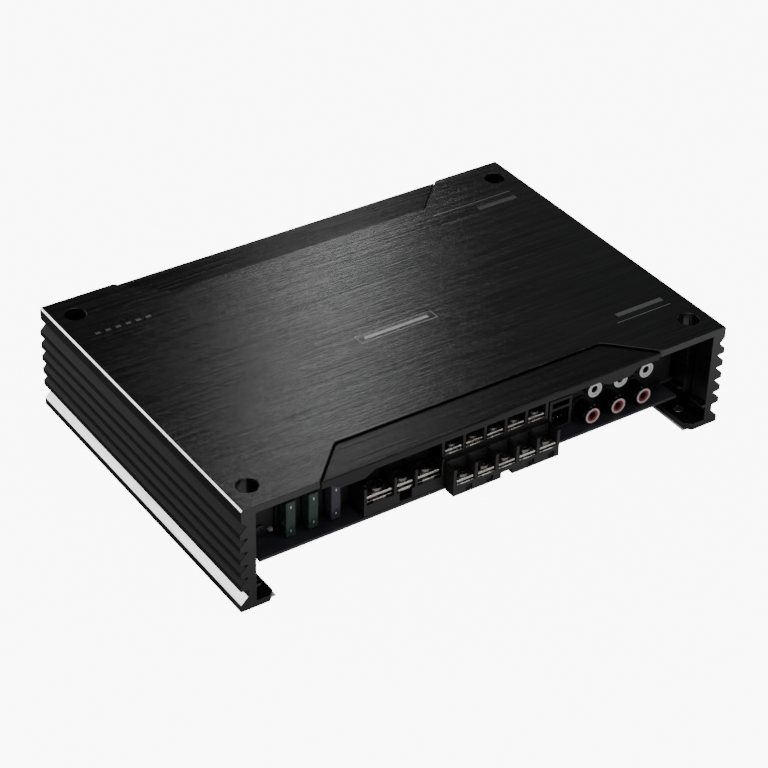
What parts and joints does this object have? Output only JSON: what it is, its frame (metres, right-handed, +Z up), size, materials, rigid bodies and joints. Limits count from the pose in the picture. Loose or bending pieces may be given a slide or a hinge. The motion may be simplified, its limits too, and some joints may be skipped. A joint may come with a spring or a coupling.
{
  "type": "car audio amplifier",
  "caption": "Flat finned-aluminium car amplifier with inset covers, screw terminals, blade fuses and phono jacks along one side.",
  "frame": {"origin": "middle of the rectangle that the two feet stand on", "axes": "+X across the width, -Y towards the connection side, +Z up through the top plate"},
  "size_m": [0.2614, 0.18, 0.054],
  "materials": {
    "anodised_case": "black anodised, brushed top",
    "anodised_cover": "black anodised, brushed top",
    "painted_steel": "black powder coat",
    "black_plastic": "moulded, satin",
    "jack_moulding": "black moulding with plated shells and white and red inserts",
    "bright_plated": "nickel plated",
    "knob_plastic": "moulded",
    "fuse_green": "translucent",
    "fuse_violet": "translucent",
    "circuit_board": "solder mask",
    "transformer_winding": "enamelled copper wire on an iron core",
    "copper_winding": "enamelled copper wire",
    "capacitor_sleeve": "shrink sleeve",
    "clear_lens": "clear"
  },
  "bodies": {
    "root": {"heatsink_case": "anodised_case", "bottom_plate": "painted_steel", "front_panel": "painted_steel", "rear_panel": "painted_steel", "main_circuit_board": "circuit_board", "power_terminal_block": "black_plastic", "speaker_terminal_block": "black_plastic", "fuse_holder": "black_plastic", "control_input_socket": "black_plastic", "rca_jack_pair_1": "jack_moulding", "rca_jack_pair_2": "jack_moulding", "rca_jack_pair_3": "jack_moulding", "indicator_lens": "clear_lens", "control_board": "circuit_board", "power_transformer": "transformer_winding", "output_inductor_1": "copper_winding", "output_inductor_2": "copper_winding", "capacitor_1": "capacitor_sleeve", "capacitor_2": "capacitor_sleeve", "transistor_row_left": "black_plastic", "transistor_row_right": "black_plastic"},
    "front_cover": {"front_terminal_cover": "anodised_cover"},
    "rear_cover": {"rear_control_cover": "anodised_cover"},
    "fuse_1": {"fuse_1": "fuse_green"},
    "fuse_2": {"fuse_2": "fuse_green"},
    "fuse_3": {"fuse_3": "fuse_violet"},
    "battery_clamp": {"battery_clamp": "bright_plated"},
    "battery_screw": {"battery_screw": "bright_plated"},
    "remote_clamp": {"remote_clamp": "bright_plated"},
    "remote_screw": {"remote_screw": "bright_plated"},
    "ground_clamp": {"ground_clamp": "bright_plated"},
    "ground_screw": {"ground_screw": "bright_plated"},
    "speaker_clamp_lower_1": {"speaker_clamp_lower_1": "bright_plated"},
    "speaker_screw_lower_1": {"speaker_screw_lower_1": "bright_plated"},
    "speaker_clamp_lower_2": {"speaker_clamp_lower_2": "bright_plated"},
    "speaker_screw_lower_2": {"speaker_screw_lower_2": "bright_plated"},
    "speaker_clamp_lower_3": {"speaker_clamp_lower_3": "bright_plated"},
    "speaker_screw_lower_3": {"speaker_screw_lower_3": "bright_plated"},
    "speaker_clamp_lower_4": {"speaker_clamp_lower_4": "bright_plated"},
    "speaker_screw_lower_4": {"speaker_screw_lower_4": "bright_plated"},
    "speaker_clamp_lower_5": {"speaker_clamp_lower_5": "bright_plated"},
    "speaker_screw_lower_5": {"speaker_screw_lower_5": "bright_plated"},
    "speaker_clamp_upper_1": {"speaker_clamp_upper_1": "bright_plated"},
    "speaker_screw_upper_1": {"speaker_screw_upper_1": "bright_plated"},
    "speaker_clamp_upper_2": {"speaker_clamp_upper_2": "bright_plated"},
    "speaker_screw_upper_2": {"speaker_screw_upper_2": "bright_plated"},
    "speaker_clamp_upper_3": {"speaker_clamp_upper_3": "bright_plated"},
    "speaker_screw_upper_3": {"speaker_screw_upper_3": "bright_plated"},
    "speaker_clamp_upper_4": {"speaker_clamp_upper_4": "bright_plated"},
    "speaker_screw_upper_4": {"speaker_screw_upper_4": "bright_plated"},
    "speaker_clamp_upper_5": {"speaker_clamp_upper_5": "bright_plated"},
    "speaker_screw_upper_5": {"speaker_screw_upper_5": "bright_plated"},
    "gain_front_knob": {"gain_front_knob": "knob_plastic"},
    "gain_rear_knob": {"gain_rear_knob": "knob_plastic"},
    "gain_sub_knob": {"gain_sub_knob": "knob_plastic"},
    "low_pass_knob": {"low_pass_knob": "knob_plastic"},
    "high_pass_knob": {"high_pass_knob": "knob_plastic"},
    "filter_switch_1": {"filter_switch_1": "knob_plastic"},
    "filter_switch_2": {"filter_switch_2": "knob_plastic"},
    "filter_switch_3": {"filter_switch_3": "knob_plastic"}
  },
  "joints": [
    {"name": "front_cover_lift", "type": "slide", "parent": "root", "child": "front_cover", "axis": [0, 0, 1], "range_m": [0, 0.025]},
    {"name": "rear_cover_lift", "type": "slide", "parent": "root", "child": "rear_cover", "axis": [0, 0, 1], "range_m": [0, 0.025]},
    {"name": "fuse_1_pull", "type": "slide", "parent": "root", "child": "fuse_1", "axis": [0, -1, 0], "range_m": [0, 0.02]},
    {"name": "fuse_2_pull", "type": "slide", "parent": "root", "child": "fuse_2", "axis": [0, -1, 0], "range_m": [0, 0.02]},
    {"name": "fuse_3_pull", "type": "slide", "parent": "root", "child": "fuse_3", "axis": [0, -1, 0], "range_m": [0, 0.02]},
    {"name": "battery_clamp_rise", "type": "slide", "parent": "root", "child": "battery_clamp", "axis": [0, 0, 1], "range_m": [0, 0.0028]},
    {"name": "battery_screw_turn", "type": "hinge", "parent": "battery_clamp", "child": "battery_screw", "pos_m": [-0.0528, -0.0733, 0.02], "axis": [0, 0, 1], "range_deg": [0, 1440]},
    {"name": "remote_clamp_rise", "type": "slide", "parent": "root", "child": "remote_clamp", "axis": [0, 0, 1], "range_m": [0, 0.0028]},
    {"name": "remote_screw_turn", "type": "hinge", "parent": "remote_clamp", "child": "remote_screw", "pos_m": [-0.0394, -0.0733, 0.02], "axis": [0, 0, 1], "range_deg": [0, 1440]},
    {"name": "ground_clamp_rise", "type": "slide", "parent": "root", "child": "ground_clamp", "axis": [0, 0, 1], "range_m": [0, 0.0028]},
    {"name": "ground_screw_turn", "type": "hinge", "parent": "ground_clamp", "child": "ground_screw", "pos_m": [-0.02675, -0.0733, 0.02], "axis": [0, 0, 1], "range_deg": [0, 1440]},
    {"name": "speaker_clamp_lower_1_rise", "type": "slide", "parent": "root", "child": "speaker_clamp_lower_1", "axis": [0, 0, 1], "range_m": [0, 0.002]},
    {"name": "speaker_screw_lower_1_turn", "type": "hinge", "parent": "speaker_clamp_lower_1", "child": "speaker_screw_lower_1", "pos_m": [-0.0121, -0.0819, 0.02], "axis": [0, 0, 1], "range_deg": [0, 1440]},
    {"name": "speaker_clamp_lower_2_rise", "type": "slide", "parent": "root", "child": "speaker_clamp_lower_2", "axis": [0, 0, 1], "range_m": [0, 0.002]},
    {"name": "speaker_screw_lower_2_turn", "type": "hinge", "parent": "speaker_clamp_lower_2", "child": "speaker_screw_lower_2", "pos_m": [-0.0007, -0.0819, 0.02], "axis": [0, 0, 1], "range_deg": [0, 1440]},
    {"name": "speaker_clamp_lower_3_rise", "type": "slide", "parent": "root", "child": "speaker_clamp_lower_3", "axis": [0, 0, 1], "range_m": [0, 0.002]},
    {"name": "speaker_screw_lower_3_turn", "type": "hinge", "parent": "speaker_clamp_lower_3", "child": "speaker_screw_lower_3", "pos_m": [0.0107, -0.0819, 0.02], "axis": [0, 0, 1], "range_deg": [0, 1440]},
    {"name": "speaker_clamp_lower_4_rise", "type": "slide", "parent": "root", "child": "speaker_clamp_lower_4", "axis": [0, 0, 1], "range_m": [0, 0.002]},
    {"name": "speaker_screw_lower_4_turn", "type": "hinge", "parent": "speaker_clamp_lower_4", "child": "speaker_screw_lower_4", "pos_m": [0.0221, -0.0819, 0.02], "axis": [0, 0, 1], "range_deg": [0, 1440]},
    {"name": "speaker_clamp_lower_5_rise", "type": "slide", "parent": "root", "child": "speaker_clamp_lower_5", "axis": [0, 0, 1], "range_m": [0, 0.002]},
    {"name": "speaker_screw_lower_5_turn", "type": "hinge", "parent": "speaker_clamp_lower_5", "child": "speaker_screw_lower_5", "pos_m": [0.0335, -0.0819, 0.02], "axis": [0, 0, 1], "range_deg": [0, 1440]},
    {"name": "speaker_clamp_upper_1_rise", "type": "slide", "parent": "root", "child": "speaker_clamp_upper_1", "axis": [0, 0, 1], "range_m": [0, 0.002]},
    {"name": "speaker_screw_upper_1_turn", "type": "hinge", "parent": "speaker_clamp_upper_1", "child": "speaker_screw_upper_1", "pos_m": [-0.0121, -0.0722, 0.02], "axis": [0, 0, 1], "range_deg": [0, 1440]},
    {"name": "speaker_clamp_upper_2_rise", "type": "slide", "parent": "root", "child": "speaker_clamp_upper_2", "axis": [0, 0, 1], "range_m": [0, 0.002]},
    {"name": "speaker_screw_upper_2_turn", "type": "hinge", "parent": "speaker_clamp_upper_2", "child": "speaker_screw_upper_2", "pos_m": [-0.0007, -0.0722, 0.02], "axis": [0, 0, 1], "range_deg": [0, 1440]},
    {"name": "speaker_clamp_upper_3_rise", "type": "slide", "parent": "root", "child": "speaker_clamp_upper_3", "axis": [0, 0, 1], "range_m": [0, 0.002]},
    {"name": "speaker_screw_upper_3_turn", "type": "hinge", "parent": "speaker_clamp_upper_3", "child": "speaker_screw_upper_3", "pos_m": [0.0107, -0.0722, 0.02], "axis": [0, 0, 1], "range_deg": [0, 1440]},
    {"name": "speaker_clamp_upper_4_rise", "type": "slide", "parent": "root", "child": "speaker_clamp_upper_4", "axis": [0, 0, 1], "range_m": [0, 0.002]},
    {"name": "speaker_screw_upper_4_turn", "type": "hinge", "parent": "speaker_clamp_upper_4", "child": "speaker_screw_upper_4", "pos_m": [0.0221, -0.0722, 0.02], "axis": [0, 0, 1], "range_deg": [0, 1440]},
    {"name": "speaker_clamp_upper_5_rise", "type": "slide", "parent": "root", "child": "speaker_clamp_upper_5", "axis": [0, 0, 1], "range_m": [0, 0.002]},
    {"name": "speaker_screw_upper_5_turn", "type": "hinge", "parent": "speaker_clamp_upper_5", "child": "speaker_screw_upper_5", "pos_m": [0.0335, -0.0722, 0.02], "axis": [0, 0, 1], "range_deg": [0, 1440]},
    {"name": "gain_front_knob_turn", "type": "hinge", "parent": "root", "child": "gain_front_knob", "pos_m": [-0.084, 0.0658, 0.031], "axis": [0, 1, 0], "range_deg": [-140, 140]},
    {"name": "gain_rear_knob_turn", "type": "hinge", "parent": "root", "child": "gain_rear_knob", "pos_m": [-0.06, 0.0658, 0.031], "axis": [0, 1, 0], "range_deg": [-140, 140]},
    {"name": "gain_sub_knob_turn", "type": "hinge", "parent": "root", "child": "gain_sub_knob", "pos_m": [-0.036, 0.0658, 0.031], "axis": [0, 1, 0], "range_deg": [-140, 140]},
    {"name": "low_pass_knob_turn", "type": "hinge", "parent": "root", "child": "low_pass_knob", "pos_m": [-0.012, 0.0658, 0.031], "axis": [0, 1, 0], "range_deg": [-140, 140]},
    {"name": "high_pass_knob_turn", "type": "hinge", "parent": "root", "child": "high_pass_knob", "pos_m": [0.012, 0.0658, 0.031], "axis": [0, 1, 0], "range_deg": [-140, 140]},
    {"name": "filter_switch_1_slide", "type": "slide", "parent": "root", "child": "filter_switch_1", "axis": [1, 0, 0], "range_m": [-0.002, 0.002]},
    {"name": "filter_switch_2_slide", "type": "slide", "parent": "root", "child": "filter_switch_2", "axis": [1, 0, 0], "range_m": [-0.002, 0.002]},
    {"name": "filter_switch_3_slide", "type": "slide", "parent": "root", "child": "filter_switch_3", "axis": [1, 0, 0], "range_m": [-0.002, 0.002]}
  ],
  "couplings": [
    {"joint": "battery_screw_turn", "follows": "battery_clamp_rise", "rad_per_m": 8976},
    {"joint": "remote_screw_turn", "follows": "remote_clamp_rise", "rad_per_m": 8976},
    {"joint": "ground_screw_turn", "follows": "ground_clamp_rise", "rad_per_m": 8976},
    {"joint": "speaker_screw_lower_1_turn", "follows": "speaker_clamp_lower_1_rise", "rad_per_m": 12566},
    {"joint": "speaker_screw_lower_2_turn", "follows": "speaker_clamp_lower_2_rise", "rad_per_m": 12566},
    {"joint": "speaker_screw_lower_3_turn", "follows": "speaker_clamp_lower_3_rise", "rad_per_m": 12566},
    {"joint": "speaker_screw_lower_4_turn", "follows": "speaker_clamp_lower_4_rise", "rad_per_m": 12566},
    {"joint": "speaker_screw_lower_5_turn", "follows": "speaker_clamp_lower_5_rise", "rad_per_m": 12566},
    {"joint": "speaker_screw_upper_1_turn", "follows": "speaker_clamp_upper_1_rise", "rad_per_m": 12566},
    {"joint": "speaker_screw_upper_2_turn", "follows": "speaker_clamp_upper_2_rise", "rad_per_m": 12566},
    {"joint": "speaker_screw_upper_3_turn", "follows": "speaker_clamp_upper_3_rise", "rad_per_m": 12566},
    {"joint": "speaker_screw_upper_4_turn", "follows": "speaker_clamp_upper_4_rise", "rad_per_m": 12566},
    {"joint": "speaker_screw_upper_5_turn", "follows": "speaker_clamp_upper_5_rise", "rad_per_m": 12566}
  ]
}
